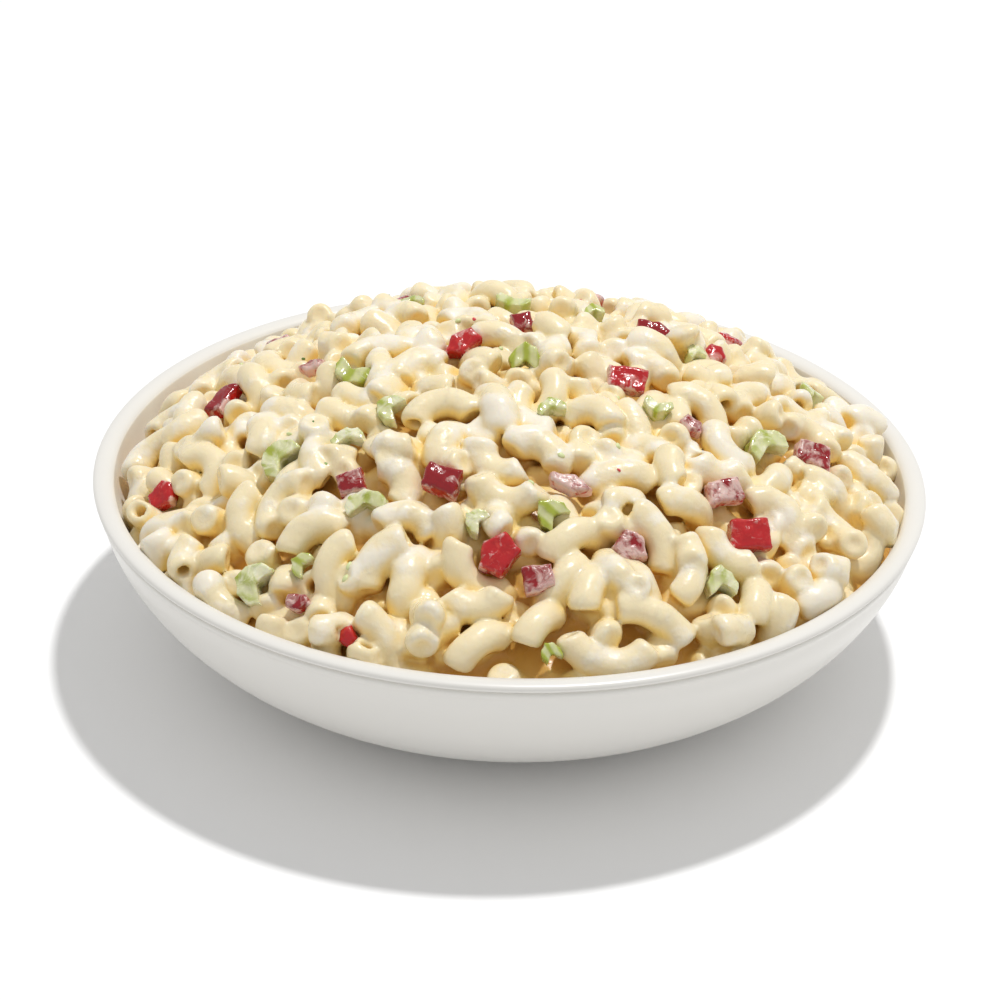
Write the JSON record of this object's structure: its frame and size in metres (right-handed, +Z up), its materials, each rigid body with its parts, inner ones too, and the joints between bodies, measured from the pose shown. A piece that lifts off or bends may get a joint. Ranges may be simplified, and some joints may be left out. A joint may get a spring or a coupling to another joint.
{
  "type": "bowl of macaroni salad",
  "caption": "Wide shallow white bowl with a rounded rim, heaped with creamy elbow pasta, diced red pepper and celery.",
  "frame": {"origin": "middle of the bowl's foot, on the surface that it stands on", "axes": "+Z up through the middle of the bowl, -Y towards the viewer of the picture, +X to the viewer's right"},
  "size_m": [0.23, 0.23, 0.0919],
  "materials": {
    "bowl_glaze": "gloss",
    "pasta": "satin",
    "dressing": "satin",
    "red_pepper": "gloss",
    "celery": "satin"
  },
  "bodies": {
    "root": {"bowl": "bowl_glaze", "macaroni_heap": "pasta", "pepper_01": "red_pepper", "pepper_02": "red_pepper", "pepper_03": "red_pepper", "pepper_04": "red_pepper", "pepper_05": "red_pepper", "pepper_06": "red_pepper", "pepper_07": "red_pepper", "pepper_08": "red_pepper", "pepper_09": "red_pepper", "pepper_10": "red_pepper", "pepper_11": "red_pepper", "pepper_12": "red_pepper", "pepper_13": "red_pepper", "pepper_14": "red_pepper", "pepper_15": "red_pepper", "pepper_16": "red_pepper", "pepper_17": "red_pepper", "pepper_18": "red_pepper", "pepper_19": "red_pepper", "pepper_20": "red_pepper", "pepper_21": "red_pepper", "pepper_22": "red_pepper", "pepper_23": "red_pepper", "pepper_24": "red_pepper", "celery_01": "celery", "celery_02": "celery", "celery_03": "celery", "celery_04": "celery", "celery_05": "celery", "celery_06": "celery", "celery_07": "celery", "celery_08": "celery", "celery_09": "celery", "celery_10": "celery", "celery_11": "celery", "celery_12": "celery", "celery_13": "celery", "celery_14": "celery", "celery_15": "celery", "celery_16": "celery", "celery_17": "celery", "celery_18": "celery", "celery_19": "celery", "celery_20": "celery", "celery_21": "celery", "celery_22": "celery", "celery_23": "celery"}
  },
  "joints": []
}
